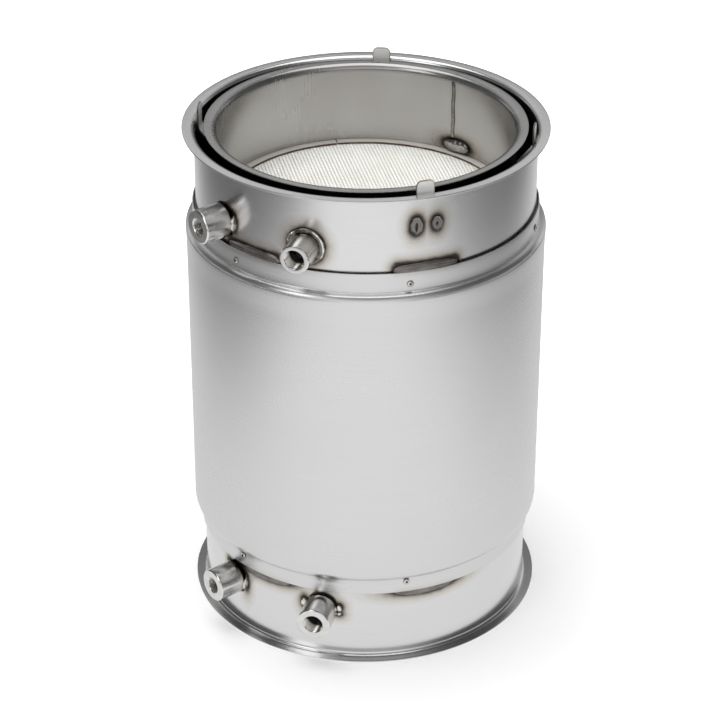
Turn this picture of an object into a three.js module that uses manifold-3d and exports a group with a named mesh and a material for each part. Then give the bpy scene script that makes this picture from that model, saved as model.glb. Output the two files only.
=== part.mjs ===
// A double-walled stainless-steel filter canister for a diesel exhaust line.
//
// The flow enters at the top, through the inlet liner, passes the ceramic
// honeycomb filter and leaves through the outlet liner at the bottom. An outer
// collar with a flat clamp flange surrounds each liner, a heat shield covers the
// insulated middle, and four threaded sensor bosses stand out of the collars.
//
// Millimetres, +Z up. The origin is on the canister's axis, in the plane of the
// outlet flange's face. The sensor bosses face the front, which is -Y, and an
// angle is counted from the front towards +X.

import * as THREE from 'three';
import { mergeVertices } from 'three/addons/utils/BufferGeometryUtils.js';
import Module from 'manifold-3d';

const wasm = await Module();
wasm.setup();

// ---------------------------------------------------------------- dimensions

const HEIGHT = 474;            // flange face to flange face
const GAP = 0.3;               // air between pieces that touch
const RING_SIDES = 40;         // flats on the large revolved sheets
const CUT_MARGIN = 9;          // how far a cutting bar reaches past a wall
const INLET = 'inlet';
const OUTLET = 'outlet';

const SHEET = 1.5;             // collar and liner sheet
const FLANGE_RADIUS = 165;
const COLLAR_RADIUS = 154.5;   // outside of the collar wall
const COLLAR_BEND = 3.5;       // outside bend from the wall to the flange
const COLLAR_DEPTH = 92;       // how far the collar reaches in from its flange

const LIP_RADIUS = 145.2;      // outer edge of the liner's lip
const LINER_BORE = 134;        // inside of the liner wall
const LINER_BEND = 6;
const LINER_DEPTH = 76;

const NECK_RADIUS = 157.6;     // outside of the shield's necked ends
const SHIELD_RADIUS = 163.7;
const SHIELD_BEAD = 164.3;     // the shield's upper edge is rolled a little proud
const SHIELD_SHEET = 1.2;
const NECK_EDGE = 72;          // the neck's edge, from its own flange face
const UPPER_NECK_ROOT = 90;    // where the upper neck turns out into the shield
const UPPER_SHOULDER = 97;     // where the upper shoulder's bend meets the side
const UPPER_BEND = 6.5;
const UPPER_BEND_ANGLE = 72;
const BEAD_END = 116;
const LOWER_NECK_ROOT = 86.5;
const LOWER_SHOULDER = 96;
const LOWER_BEND = 9.5;
const LOWER_BEND_ANGLE = 66;

const STANDOFF_DEPTH = [75, 87];   // rings under the necks, from their flange face
const STANDOFF_OUTSIDE = 156.0;

const CAN_RADIUS = 138.8;
const CAN_SHEET = 1.5;
const CAN_END = 76.5;
const FILTER_RADIUS = 133.3;
const FILTER_END = 78.6;       // filter face, from the flange face
const MAT_END = 82.6;
const RETAINER_BORE = 126.4;
const RETAINER_DEPTH = [76.4, 78.3];

const END_PLATE_DEPTH = [88, 90];
const BLANKET_RADIUS = 161.8;
const BLANKET_END = 99;

const BOSS_DEPTH = 51;         // boss axes, from their flange face
const BOSS_FACE = 182.5;       // radius out to the boss's end face
const BOSS_BACK = 159.6;       // where the boss steps down to its spigot
const BOSS_SPIGOT_END = 142.5;
const BOSS_CHAMFER = 1;
const BOSS_STEP = 2.6;         // the spigot is this much thinner all round
const BOSS_SIDES = 16;
const LINER_PORT_RADIUS = 10;  // probe holes through the liner wall
const BOSSES = [
  { name: 'inlet_pressure_boss', end: INLET, angle: -53.0, radius: 15.5, bore: 7.1, weld: 16.2 },
  { name: 'inlet_temperature_boss', end: INLET, angle: -19.5, radius: 13.3, bore: 8.2, weld: 18.2 },
  { name: 'outlet_pressure_boss', end: OUTLET, angle: -51.5, radius: 15.5, bore: 7.1, weld: 16.2 },
  { name: 'outlet_temperature_boss', end: OUTLET, angle: -15.1, radius: 15.8, bore: 8.2, weld: 19.7 },
];

const WELD_HEIGHT = 3;         // of the fillet ring round a boss; its toe is the boss's weld radius

const STITCH_ANGLES = {
  [INLET]: [-39.5, 19.7, 140.5, 199.7],
  [OUTLET]: [-37.3, 20.9, 142.7, 200.9],
};
const STITCH_SPAN = 21;        // degrees round the collar
const STITCH_HEIGHT = 6.5;

const RIVET_FIRST_ANGLE = -46;
const RIVET_COUNT = 6;
const RIVET_DEPTH = 83;
const RIVET_HEAD = 2.8;
const RIVET_RIM = 0.7;         // height of the head's edge
const RIVET_DOME = 1.1;        // height of the head's middle
const RIVET_SHANK = 1.5;
const RIVET_SIDES = 8;

const CLIP_ANGLES = [19.3, 80, 174.5, 263];
const CLIP_WIDTH = 16.5;
const CLIP_CORNER = 5;         // reach of the round at each upper corner
const CLIP_SHEET = 1.4;
const CLIP_RADIUS = 152;       // outer face of the clip's tongue
const CLIP_STANDS_PROUD = 10;  // above the inlet flange face
const CLIP_RECESS = 3;         // inside the outlet flange face
const CLIP_BEND = 12;          // depth where the spring leg leaves the tongue
const CLIP_FOOT = 30;          // depth where the leg presses on the liner

const PLUG_WELDS = [
  { name: 'collar_plug_weld_left', angle: 16.1, halfWidth: 6.6, halfHeight: 9.3 },
  { name: 'collar_plug_weld_right', angle: 23.0, halfWidth: 5.7, halfHeight: 7.8 },
];
const PLUG_WELD_DEPTH = 30;
const PLUG_WELD_HEIGHT = 1.6;
const PLUG_WELD_SIDES = 16;

const SEAM_ANGLE = 142.4;      // the inlet liner's rolled seam
const SEAM_WIDTH = 4;
const SEAM_THICKNESS = 1;
const TACK_ANGLE = 139.5;      // the tack weld at the foot of that seam
const TACK_SPAN = 13;
const TACK_HEIGHT = 8;
const TACK_THICKNESS = 4.4;

// ----------------------------------------------------------------- materials

const metal = (color, roughness) => new THREE.MeshStandardMaterial({ color, roughness, metalness: 1 });

const BRUSHED = metal(0xbfbfbf, 0.38);
const SATIN = metal(0xc8c8c8, 0.32);
const TURNED = metal(0xc2bfb8, 0.25);
const WELD = metal(0x6f6a64, 0.5);
const DARK_STEEL = metal(0x8f8d88, 0.55);
const CERAMIC = new THREE.MeshStandardMaterial({ color: 0xe9e6da, roughness: 0.95, metalness: 0 });
const FIBRE = new THREE.MeshStandardMaterial({ color: 0xd8d2c2, roughness: 1, metalness: 0 });

// ------------------------------------------------------------------- helpers

// A point of an outline: radius from the axis, and depth in from the flange face.
const at = (radius, depth) => new THREE.Vector2(radius, depth);

// Points along a round bend, without its first point.
function bend(centreRadius, centreDepth, radius, from, to, steps = 3) {
  const points = [];
  for (let i = 1; i <= steps; i += 1) {
    const angle = THREE.MathUtils.degToRad(from + ((to - from) * i) / steps);
    points.push(at(centreRadius + radius * Math.cos(angle), centreDepth + radius * Math.sin(angle)));
  }
  return points;
}

// Revolves a closed outline of (radius, height) points about +Z.
function revolve(outline, sides = RING_SIDES) {
  const points = THREE.ShapeUtils.isClockWise(outline) ? [...outline].reverse() : [...outline];
  points.push(points[0].clone());
  const geometry = new THREE.LatheGeometry(points, sides);
  geometry.rotateX(Math.PI / 2);
  return geometry;
}

// Turns outline points given as depths from one flange face into heights.
function fromEnd(end, outline) {
  return outline.map((p) => at(p.x, end === INLET ? HEIGHT - p.y : p.y));
}

// The four-cornered outline of a plain ring.
function ringOutline(inside, outside, low, high) {
  return [at(inside, low), at(outside, low), at(outside, high), at(inside, high)];
}

// A closed three.js geometry as a manifold-3d solid.
function solidOf(geometry) {
  const bare = geometry.clone();
  bare.deleteAttribute('normal');
  bare.deleteAttribute('uv');
  const merged = mergeVertices(bare, 1e-4);
  return new wasm.Manifold(new wasm.Mesh({
    numProp: 3,
    vertProperties: new Float32Array(merged.attributes.position.array),
    triVerts: new Uint32Array(merged.index.array),
  }));
}

// A manifold-3d solid as a three.js geometry.
function geometryOf(solid) {
  const mesh = solid.getMesh();
  const geometry = new THREE.BufferGeometry();
  geometry.setAttribute('position', new THREE.BufferAttribute(mesh.vertProperties, 3));
  geometry.setIndex(new THREE.BufferAttribute(mesh.triVerts, 1));
  return geometry;
}

// Cuts every tool out of a geometry.
function cut(geometry, tools) {
  return geometryOf(tools.reduce((solid, tool) => solid.subtract(solidOf(tool)), solidOf(geometry)));
}

// A round bar along a radius of the canister, to cut a hole or to stand out of a wall.
function radialBar(radius, inner, outer, angle, height, sides = BOSS_SIDES) {
  const bar = new THREE.CylinderGeometry(radius, radius, outer - inner, sides);
  bar.translate(0, -(inner + outer) / 2, height);
  bar.rotateZ(THREE.MathUtils.degToRad(angle));
  return bar;
}

const canister = new THREE.Group();

// Adds a named mesh, turned round the canister's axis and lifted to a height.
function add(name, geometry, material, angle = 0, height = 0) {
  const mesh = new THREE.Mesh(geometry, material);
  mesh.name = name;
  mesh.rotation.z = THREE.MathUtils.degToRad(angle);
  mesh.position.z = height;
  canister.add(mesh);
}

const heightAt = (end, depth) => (end === INLET ? HEIGHT - depth : depth);

// -------------------------------------------------------------------- shells

// The outer collar: a rolled sheet whose end is flared out into the clamp flange.
function collarGeometry(end) {
  const wall = COLLAR_RADIUS - SHEET;
  const outline = [
    at(FLANGE_RADIUS, 0),
    at(FLANGE_RADIUS, SHEET),
    at(COLLAR_RADIUS + COLLAR_BEND, SHEET),
    ...bend(COLLAR_RADIUS + COLLAR_BEND, SHEET + COLLAR_BEND, COLLAR_BEND, 270, 180),
    at(COLLAR_RADIUS, COLLAR_DEPTH),
    at(wall, COLLAR_DEPTH),
    at(wall, SHEET + COLLAR_BEND),
    ...bend(COLLAR_RADIUS + COLLAR_BEND, SHEET + COLLAR_BEND, COLLAR_BEND + SHEET, 180, 270),
  ];
  const holes = BOSSES.filter((boss) => boss.end === end).map((boss) => {
    const radius = boss.radius - BOSS_STEP + GAP;
    const reach = [wall - CUT_MARGIN, COLLAR_RADIUS + CUT_MARGIN];
    return radialBar(radius, ...reach, boss.angle, heightAt(end, BOSS_DEPTH));
  });
  return cut(revolve(fromEnd(end, outline)), holes);
}

// The inner liner: a rolled tube whose end is folded out into a flat lip.
function linerGeometry(end) {
  const outside = LINER_BORE + SHEET;
  const lipCentre = LINER_BORE + LINER_BEND;
  const outline = [
    at(LIP_RADIUS, 0),
    at(LIP_RADIUS, SHEET),
    at(lipCentre, SHEET),
    ...bend(lipCentre, LINER_BEND, LINER_BEND - SHEET, 270, 180),
    at(outside, LINER_DEPTH),
    at(LINER_BORE, LINER_DEPTH),
    at(LINER_BORE, LINER_BEND),
    ...bend(lipCentre, LINER_BEND, LINER_BEND, 180, 270),
  ];
  const reach = [LINER_BORE - CUT_MARGIN, outside + CUT_MARGIN];
  const holes = BOSSES.filter((boss) => boss.end === end).map((boss) => (
    radialBar(LINER_PORT_RADIUS, ...reach, boss.angle, heightAt(end, BOSS_DEPTH))
  ));
  return cut(revolve(fromEnd(end, outline)), holes);
}

const rivetAngles = [];
for (let i = 0; i < RIVET_COUNT; i += 1) {
  rivetAngles.push(RIVET_FIRST_ANGLE + (i * 360) / RIVET_COUNT);
}

// The shank holes through a sheet that the rivets of one end pass through.
function rivetHoles(end) {
  const height = heightAt(end, RIVET_DEPTH);
  return rivetAngles.map((angle) => (
    radialBar(RIVET_SHANK + GAP, COLLAR_RADIUS, NECK_RADIUS + CUT_MARGIN, angle, height, RIVET_SIDES)
  ));
}

// The heat shield: one spun sheet with a rounded shoulder and a straight neck at each end.
function shieldGeometry() {
  const t = SHIELD_SHEET;
  const upper = [SHIELD_BEAD - UPPER_BEND, HEIGHT - UPPER_SHOULDER];
  const lower = [SHIELD_RADIUS - LOWER_BEND, LOWER_SHOULDER];
  const outside = [
    at(NECK_RADIUS, NECK_EDGE),
    at(NECK_RADIUS, LOWER_NECK_ROOT),
    ...bend(...lower, LOWER_BEND, -LOWER_BEND_ANGLE, 0),
    at(SHIELD_RADIUS, HEIGHT - BEAD_END),
    at(SHIELD_BEAD, HEIGHT - UPPER_SHOULDER),
    ...bend(...upper, UPPER_BEND, 0, UPPER_BEND_ANGLE),
    at(NECK_RADIUS, HEIGHT - UPPER_NECK_ROOT),
    at(NECK_RADIUS, HEIGHT - NECK_EDGE),
  ];
  const inside = [
    at(NECK_RADIUS - t, HEIGHT - NECK_EDGE),
    at(NECK_RADIUS - t, HEIGHT - UPPER_NECK_ROOT - t / 2),
    ...bend(...upper, UPPER_BEND - t, UPPER_BEND_ANGLE, 0),
    at(SHIELD_RADIUS - t, HEIGHT - BEAD_END),
    at(SHIELD_RADIUS - t, LOWER_SHOULDER),
    ...bend(...lower, LOWER_BEND - t, 0, -LOWER_BEND_ANGLE),
    at(NECK_RADIUS - t, LOWER_NECK_ROOT + t / 2),
    at(NECK_RADIUS - t, NECK_EDGE),
  ];
  return cut(revolve([...outside, ...inside]), [...rivetHoles(INLET), ...rivetHoles(OUTLET)]);
}

// The ring between a collar and the shield's neck, which the rivets hold.
function standoffGeometry(end) {
  const outline = ringOutline(COLLAR_RADIUS + GAP, STANDOFF_OUTSIDE, ...STANDOFF_DEPTH);
  return cut(revolve(fromEnd(end, outline)), rivetHoles(end));
}

// --------------------------------------------------------------- inner parts

// A ring given by its depths from one flange face.
function endRing(end, inside, outside, depths) {
  return revolve(fromEnd(end, ringOutline(inside, outside, ...depths)));
}

// A ring that reaches equally far from both flange faces.
function middleRing(inside, outside, endDepth) {
  return revolve(ringOutline(inside, outside, endDepth, HEIGHT - endDepth));
}

// The filter is a full cylinder, so its outline starts and ends on the axis.
function filterGeometry() {
  const outline = [
    at(0, FILTER_END),
    at(FILTER_RADIUS, FILTER_END),
    at(FILTER_RADIUS, HEIGHT - FILTER_END),
    at(0, HEIGHT - FILTER_END),
  ];
  return new THREE.LatheGeometry(outline, RING_SIDES).rotateX(Math.PI / 2);
}

// The blanket fills the space between the can and the shield.
function blanketGeometry() {
  return middleRing(CAN_RADIUS + GAP, BLANKET_RADIUS, BLANKET_END);
}

// -------------------------------------------------------- bosses, welds, clips

// A sensor boss: a turned body with a chamfered face, stepped down to a spigot
// that passes through the collar wall. Its axis is a radius of the canister.
function bossGeometry({ radius, bore }) {
  const spigot = radius - BOSS_STEP;
  const outline = [
    at(bore, -BOSS_SPIGOT_END),
    at(spigot, -BOSS_SPIGOT_END),
    at(spigot, -BOSS_BACK),
    at(radius, -BOSS_BACK),
    at(radius, -BOSS_FACE + BOSS_CHAMFER),
    at(radius - BOSS_CHAMFER, -BOSS_FACE),
    at(bore + BOSS_CHAMFER, -BOSS_FACE),
    at(bore, -BOSS_FACE + BOSS_CHAMFER),
  ];
  return revolve(outline, BOSS_SIDES).rotateX(-Math.PI / 2);
}

// The fillet weld round a boss's spigot, standing on the collar.
function bossWeldGeometry({ radius, weld }) {
  const inside = radius - BOSS_STEP + GAP;
  const base = COLLAR_RADIUS + GAP;
  const outline = [
    at(inside, -base),
    at(inside, -base - WELD_HEIGHT),
    at((inside + weld) / 2, -base - WELD_HEIGHT),
    at(weld, -base),
  ];
  return revolve(outline, BOSS_SIDES).rotateX(-Math.PI / 2);
}

// A bead lying round part of a wall, between two radii.
function arcBead(inside, outside, spanDegrees, height, steps = 5) {
  const half = THREE.MathUtils.degToRad(spanDegrees) / 2;
  const front = -Math.PI / 2;
  const shape = new THREE.Shape();
  shape.absarc(0, 0, outside, front - half, front + half, false);
  shape.absarc(0, 0, inside, front + half, front - half, true);
  shape.closePath();
  return new THREE.ExtrudeGeometry(shape, { depth: height, bevelEnabled: false, curveSegments: steps });
}

// A rivet along a radius: a domed head outside the neck and a shank through both sheets.
function rivetGeometry() {
  const seat = NECK_RADIUS + GAP;
  const outline = [
    at(0, -(COLLAR_RADIUS + 2 * GAP)),
    at(RIVET_SHANK, -(COLLAR_RADIUS + 2 * GAP)),
    at(RIVET_SHANK, -seat),
    at(RIVET_HEAD, -seat),
    at(RIVET_HEAD, -seat - RIVET_RIM),
    at(0, -seat - RIVET_DOME),
  ];
  return new THREE.LatheGeometry(outline.reverse(), RIVET_SIDES);
}

// A spring clip that keeps the liner central: a tongue with rounded corners lies
// against the collar, and its leg leans in to press on the liner wall.
function clipGeometry(standsProud) {
  const inner = CLIP_RADIUS - CLIP_SHEET;
  const foot = LINER_BORE + SHEET + 2 * GAP;
  const side = new THREE.Shape([
    at(CLIP_RADIUS, HEIGHT + standsProud),
    at(CLIP_RADIUS, HEIGHT - CLIP_BEND),
    at(foot + CLIP_SHEET, HEIGHT - CLIP_FOOT),
    at(foot, HEIGHT - CLIP_FOOT + CLIP_SHEET / 2),
    at(inner, HEIGHT - CLIP_BEND + CLIP_SHEET / 2),
    at(inner, HEIGHT + standsProud),
  ]);
  const strip = new THREE.ExtrudeGeometry(side, { depth: CLIP_WIDTH, bevelEnabled: false });
  strip.applyMatrix4(new THREE.Matrix4().makeBasis(
    new THREE.Vector3(0, -1, 0),
    new THREE.Vector3(0, 0, 1),
    new THREE.Vector3(-1, 0, 0),
  ));
  strip.translate(CLIP_WIDTH / 2, 0, 0);

  const half = CLIP_WIDTH / 2;
  const top = HEIGHT + standsProud;
  const bottom = HEIGHT - CLIP_FOOT - CUT_MARGIN;
  const front = new THREE.Shape();
  front.moveTo(-half, bottom);
  front.lineTo(half, bottom);
  front.lineTo(half, top - CLIP_CORNER);
  front.quadraticCurveTo(half, top, half - CLIP_CORNER, top);
  front.lineTo(CLIP_CORNER - half, top);
  front.quadraticCurveTo(-half, top, -half, top - CLIP_CORNER);
  front.closePath();
  const plate = new THREE.ExtrudeGeometry(front, {
    depth: CLIP_RADIUS + CUT_MARGIN,
    bevelEnabled: false,
    curveSegments: 4,
  });
  plate.rotateX(Math.PI / 2);
  return geometryOf(solidOf(strip).intersect(solidOf(plate)));
}

// ------------------------------------------------------------------ assembly

const retainerOutside = CAN_RADIUS - CAN_SHEET - GAP;
const plateRadii = [CAN_RADIUS + GAP, COLLAR_RADIUS - SHEET - GAP];
for (const end of [INLET, OUTLET]) {
  const retainer = endRing(end, RETAINER_BORE, retainerOutside, RETAINER_DEPTH);
  add(`${end}_collar`, collarGeometry(end), BRUSHED);
  add(`${end}_liner`, linerGeometry(end), BRUSHED);
  add(`${end}_standoff_ring`, standoffGeometry(end), DARK_STEEL);
  add(`${end}_retaining_ring`, retainer, DARK_STEEL);
  add(`${end}_end_plate`, endRing(end, ...plateRadii, END_PLATE_DEPTH), DARK_STEEL);
}

add('heat_shield', shieldGeometry(), SATIN);
add('filter_can', middleRing(CAN_RADIUS - CAN_SHEET, CAN_RADIUS, CAN_END), DARK_STEEL);
add('support_mat', middleRing(FILTER_RADIUS + GAP, retainerOutside, MAT_END), FIBRE);
add('ceramic_filter', filterGeometry(), CERAMIC);
add('insulation_blanket', blanketGeometry(), FIBRE);

for (const boss of BOSSES) {
  const height = heightAt(boss.end, BOSS_DEPTH);
  add(boss.name, bossGeometry(boss), TURNED, boss.angle, height);
  add(`${boss.name}_weld`, bossWeldGeometry(boss), WELD, boss.angle, height);
}

for (const end of [INLET, OUTLET]) {
  const bead = arcBead(COLLAR_RADIUS + 2 * GAP, NECK_RADIUS, STITCH_SPAN, STITCH_HEIGHT);
  const low = end === INLET ? HEIGHT - NECK_EDGE + GAP : NECK_EDGE - GAP - STITCH_HEIGHT;
  STITCH_ANGLES[end].forEach((angle, i) => add(`${end}_stitch_weld_${i + 1}`, bead, WELD, angle, low));
  const height = heightAt(end, RIVET_DEPTH);
  rivetAngles.forEach((angle, i) => add(`${end}_rivet_${i + 1}`, rivetGeometry(), TURNED, angle, height));
}

const inletClip = clipGeometry(CLIP_STANDS_PROUD);
const outletClip = clipGeometry(-CLIP_RECESS).rotateY(Math.PI).translate(0, 0, HEIGHT);
CLIP_ANGLES.forEach((angle, i) => {
  add(`inlet_clip_${i + 1}`, inletClip, SATIN, angle);
  add(`outlet_clip_${i + 1}`, outletClip, SATIN, angle);
});

const plugBase = COLLAR_RADIUS + GAP;
for (const { name, angle, halfWidth, halfHeight } of PLUG_WELDS) {
  const oval = radialBar(halfWidth, plugBase, plugBase + PLUG_WELD_HEIGHT, 0, 0, PLUG_WELD_SIDES);
  oval.scale(1, 1, halfHeight / halfWidth);
  add(name, oval, WELD, angle, HEIGHT - PLUG_WELD_DEPTH);
}

const linerFace = LINER_BORE - 2 * GAP;
const seamHeight = LINER_DEPTH - LINER_BEND - TACK_HEIGHT;
const seamSpan = THREE.MathUtils.radToDeg(SEAM_WIDTH / LINER_BORE);
const seam = arcBead(linerFace - SEAM_THICKNESS, linerFace, seamSpan, seamHeight, 1);
add('inlet_liner_seam_weld', seam, WELD, SEAM_ANGLE, HEIGHT - LINER_BEND - seamHeight);
const tack = arcBead(linerFace - TACK_THICKNESS, linerFace, TACK_SPAN, TACK_HEIGHT - GAP, 4);
add('inlet_liner_tack_weld', tack, WELD, TACK_ANGLE, HEIGHT - LINER_DEPTH);

export default canister;
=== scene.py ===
"""Looks of a stainless exhaust filter canister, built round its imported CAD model.

Everything is in metres, in the CAD frame: +Z up along the canister's axis, the
outlet flange face at z = 0, and the sensor bosses facing the front, -Y. An angle
is counted from the front towards +X, and a depth is measured in from the flange
face of its own end.
"""

import math
import random

import bmesh
import bpy
import numpy as np
from mathutils import Matrix, Vector


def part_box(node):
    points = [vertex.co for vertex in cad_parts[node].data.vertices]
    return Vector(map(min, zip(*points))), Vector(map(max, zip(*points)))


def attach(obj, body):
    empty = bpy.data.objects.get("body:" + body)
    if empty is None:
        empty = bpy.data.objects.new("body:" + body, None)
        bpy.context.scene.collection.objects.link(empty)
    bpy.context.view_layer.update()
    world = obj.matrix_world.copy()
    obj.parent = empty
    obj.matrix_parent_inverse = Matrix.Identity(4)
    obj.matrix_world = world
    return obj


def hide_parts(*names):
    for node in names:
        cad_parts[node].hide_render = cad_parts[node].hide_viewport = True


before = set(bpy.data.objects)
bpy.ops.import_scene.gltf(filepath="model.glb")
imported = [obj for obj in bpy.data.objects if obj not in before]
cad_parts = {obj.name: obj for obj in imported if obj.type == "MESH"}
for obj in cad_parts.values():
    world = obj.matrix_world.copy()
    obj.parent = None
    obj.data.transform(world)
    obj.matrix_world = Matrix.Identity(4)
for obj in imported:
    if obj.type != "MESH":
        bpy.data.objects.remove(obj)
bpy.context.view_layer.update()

# ---- dimensions

MM = 0.001
INLET = "inlet"
OUTLET = "outlet"
ENDS = (INLET, OUTLET)

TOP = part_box("inlet_collar")[1].z              # inlet flange face
FLANGE_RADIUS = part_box("inlet_collar")[1].x
COLLAR_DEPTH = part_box("outlet_collar")[1].z
LIP_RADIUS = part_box("inlet_liner")[1].x
LINER_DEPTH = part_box("outlet_liner")[1].z
NECK_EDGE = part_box("heat_shield")[0].z
FILTER_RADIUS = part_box("ceramic_filter")[1].x
FILTER_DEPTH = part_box("ceramic_filter")[0].z
RETAINER_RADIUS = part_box("outlet_retaining_ring")[1].x
RETAINER_DEPTHS = [corner.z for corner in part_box("outlet_retaining_ring")]

SHEET = 1.5 * MM
COLLAR_RADIUS = 154.5 * MM
COLLAR_BEND = 3.5 * MM
LINER_BORE = 134 * MM
LINER_BEND = 6 * MM
RETAINER_BORE = 126.4 * MM
RETAINER_SPLIT_ANGLE = -167.7
RETAINER_SPLIT = 0.5        # degrees

NECK_RADIUS = 157.6 * MM
SHIELD_RADIUS = 163.7 * MM
SHIELD_BEAD = 164.3 * MM
SHIELD_SHEET = 1.2 * MM
UPPER_NECK_ROOT = 90 * MM
UPPER_SHOULDER = 97 * MM
UPPER_BEND = 6.5 * MM
UPPER_BEND_ANGLE = 72
BEAD_END = 116 * MM
LOWER_NECK_ROOT = 86.5 * MM
LOWER_SHOULDER = 96 * MM
LOWER_BEND = 9.5 * MM
LOWER_BEND_ANGLE = 66
FOLD_RADIUS = 1.3 * MM      # of the small bends at the neck roots

BOSS_DEPTH = 51 * MM
BOSS_FACE = 182.5 * MM      # distances along a boss are from the canister's axis
BOSS_BACK = 157.2 * MM
BOSS_SPIGOT_END = 142.5 * MM
BOSS_STEP = 2.6 * MM
BOSS_CHAMFER = 1 * MM
THREAD_PITCH = 1.5 * MM
THREAD_HEIGHT = 0.75 * MM
THREAD_TURNS = 13
PORT_RADIUS = 10 * MM       # probe holes in the liner
HOLE_CLEARANCE = 0.3 * MM
HOLE_REACH = 9 * MM         # how far a cut goes past each side of a wall

# name, end, angle, outside radius, bore radius, weld bead's middle radius and half width,
# the bead's least size, and its lumps as (direction round the boss, size, width in degrees)
BOSSES = [
    ("inlet_pressure_boss", INLET, -53.0, 15.5, 7.1, 14.6, 2.7, 0.2,
     [(2, 1.2, 25)]),
    ("inlet_temperature_boss", INLET, -19.5, 13.3, 8.2, 14.5, 3.4, 0.6,
     [(8, 0.35, 42), (150, 0.35, 18), (80, 0.1, 40)]),
    ("outlet_pressure_boss", OUTLET, -51.5, 15.5, 7.1, 14.6, 2.7, 0.2,
     [(-8, 1.15, 24), (140, 0.7, 14)]),
    ("outlet_temperature_boss", OUTLET, -15.1, 15.8, 8.2, 17.0, 2.7, 0.0,
     [(166, 1.0, 16), (9, 0.95, 12), (-13, 0.75, 8)]),
]
WELD_HEIGHT = 3.6 * MM
RING_WELD = 0.5              # a bead whose least size is over this goes all the way round

STITCH_ANGLES = {INLET: [-39.5, 19.7, 140.5, 199.7], OUTLET: [-37.3, 20.9, 142.7, 200.9]}
STITCH_SPAN = 22.4          # degrees
STITCH_HEIGHT = 8 * MM
STITCH_STANDS = 2.6 * MM    # out from the collar
STITCH_TAPER = {INLET: 6, OUTLET: 3.2}      # a higher power keeps its height nearer to the ends

RIVET_ANGLES = [-46 + 60 * i for i in range(6)]
RIVET_DEPTH = 83 * MM
RIVET_HEAD = 3.0 * MM
RIVET_DOME = 1.1 * MM
RIVET_HOLE = 0.9 * MM

CLIP_ANGLES = [19.3, 80, 174.5, 263]
CLIP_RADIUS = 152 * MM
CLIP_SHEET = 1.4 * MM
CLIP_WIDTH = 16.5 * MM
CLIP_CORNER = 5 * MM
CLIP_TOP = {INLET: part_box("inlet_clip_1")[1].z, OUTLET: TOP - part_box("outlet_clip_1")[0].z}
CLIP_BEND_DEPTH = 12 * MM
CLIP_FOOT_DEPTH = 30 * MM
CLIP_PLACES = (-1, -0.94, -0.84, -0.6, -0.3, 0, 0.3, 0.6, 0.84, 0.94, 1)      # across its width

# name, angle, half width and half height in mm, and the crater: its place and its height over width
PLUG_WELDS = [
    ("collar_plug_weld_left", 16.1, 6.6, 9.3, (0.2, -1.2, 2.8)),
    ("collar_plug_weld_right", 23.0, 5.7, 7.8, (0.2, -0.4, 1.6)),
]
PLUG_DEPTH = 30 * MM

SEAM_ANGLE = 142.4
SEAM_WIDTH = 4.0 * MM
SEAM_STANDS = 0.9 * MM
TACK_ANGLE = 140.0
TACK_HALF_WIDTH = 15.5 * MM
TACK_HALF_HEIGHT = 6.6 * MM
TACK_STANDS = 4.0 * MM

CELL_PITCH = 2.287 * MM
CELL_WALL = 0.36 * MM
CELL_DEPTH = 3 * MM
PLUG_RECESS = 0.14 * MM
CELL_FIELD = 129 * MM       # cells fill the face out to this radius
CELL_TURN = 11.66           # degrees from the front to the rows of plugs

GAP_TOP = {"collar": 7 * MM, "liner": 1.6 * MM}      # painted shade on the closed gap's walls starts this far in
RING_SEGMENTS = 288
SHEET_SEGMENTS = 384        # of the widest sheets
SHARP_TURN = 33             # degrees; a turn this sharp is an edge

# ---- looks and lights

AROUND = (1, 1, 60)         # grain that runs round the canister
UPRIGHT = (60, 60, 1)       # grain that runs up and down
TINT_REACH = 12 * MM        # heat tint fades out this far from a weld; painted shade uses the same scale
# heat tint by welds; on the retaining rings and clips this ramp paints dark edge shade
HEAT_TINT_AND_EDGE_SHADE = [
    (0.0, (0.06, 0.052, 0.045)),
    (0.09, (0.14, 0.12, 0.105)),
    (0.2, (0.46, 0.42, 0.37)),
    (0.36, (0.76, 0.72, 0.66)),
    (0.62, (0.92, 0.905, 0.875)),
    (0.95, 1.0),
]
# near-black end is painted shade in bores, behind bosses and round rivet heads; the tan middle is heat
# tint
BOSS_TINT_AND_SHADE = [
    (0.0, 0.02),
    (0.12, 0.04),
    (0.22, (0.55, 0.5, 0.44)),
    (0.6, (0.93, 0.91, 0.87)),
    (1.0, 1.0),
]

# brightness of the floor as reflections see it, against metres to the side
FLOOR_GLOW = [
    (-1.6, 0.14), (-1.05, 0.18), (-0.9, 0.32), (-0.76, 0.53), (-0.62, 0.8),
    (-0.47, 0.99), (-0.3, 1.0), (0, 1.0), (0.3, 1.0), (0.47, 0.96),
    (0.64, 0.84), (0.78, 0.66), (0.9, 0.42), (1.05, 0.25), (1.6, 0.18),
]
# and how that is dimmed behind the canister, against metres to the back
FLOOR_DEPTH_GLOW = [(-0.4, 1.0), (-0.2, 0.93), (0.0, 0.86), (0.15, 0.81), (0.6, 0.76)]
FLOOR_HALF_SPAN = 2.0        # metres that the two lists above may reach
FLOOR_LIFT = (0.32, 0.9)     # the floor's own light near the canister and far from it
FLOOR_LIFT_SPAN = (0.15, 0.8)
FLOOR_SIZE = (60, 60)
FLOOR_PLACE = (0, 0, -0.3 * MM)
FLOOR_CARD_SIZE = (8, 8)
FLOOR_CARD_PLACE = (0, 0, -0.2 * MM)
# brightness of the surroundings against the sine of the height above the horizon
SKY_GLOW = [(0.0, 1.0), (0.15, 0.95), (0.42, 0.69), (0.6, 0.58), (0.78, 0.14), (1.0, 0.1)]
SIDE_GLOW = (1.0, 0.15)      # how much of it is left ahead, and to the far left and right
SIDE_SPAN = (0.3, 0.8)
TOP_SIZE = (1.9, 1.9)
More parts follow.
